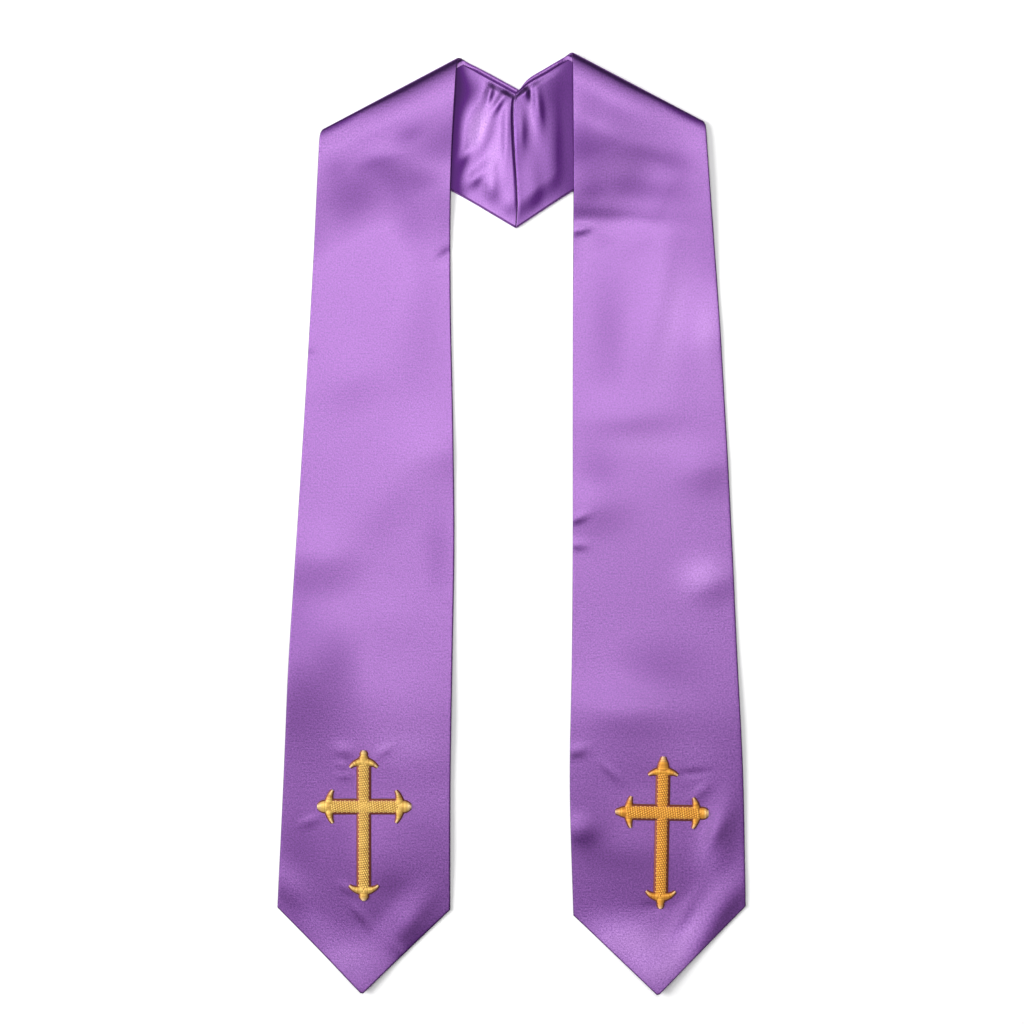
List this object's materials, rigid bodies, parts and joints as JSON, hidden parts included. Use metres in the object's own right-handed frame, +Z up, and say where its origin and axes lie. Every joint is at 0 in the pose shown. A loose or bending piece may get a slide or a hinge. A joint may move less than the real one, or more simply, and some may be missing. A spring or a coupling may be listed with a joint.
{
  "type": "clergy stole",
  "caption": "Purple satin clergy stole laid flat: two tapering strips with pointed hems, folded over at the shoulders, joined at the back of the neck, with an embroidered gold cross on each front.",
  "frame": {"origin": "on the surface that the stole lies on, under the middle of its laid-out outline", "axes": "+Y from the pointed hems to the neck, +X to the viewer's right, +Z up from the surface"},
  "size_m": [0.4118, 0.8284, 0.012],
  "materials": {
    "satin": "soft purple satin with a fine crosswise grain",
    "lining": "purple lining satin, wrinkled",
    "gold_thread": "light gold rayon thread in padded satin stitch",
    "deep_gold_thread": "deep gold rayon thread in padded satin stitch"
  },
  "bodies": {
    "root": {"left_strip": "satin", "right_strip": "satin", "left_neck_lining": "lining", "right_neck_lining": "lining", "left_cross": "gold_thread", "right_cross": "deep_gold_thread"}
  },
  "joints": []
}
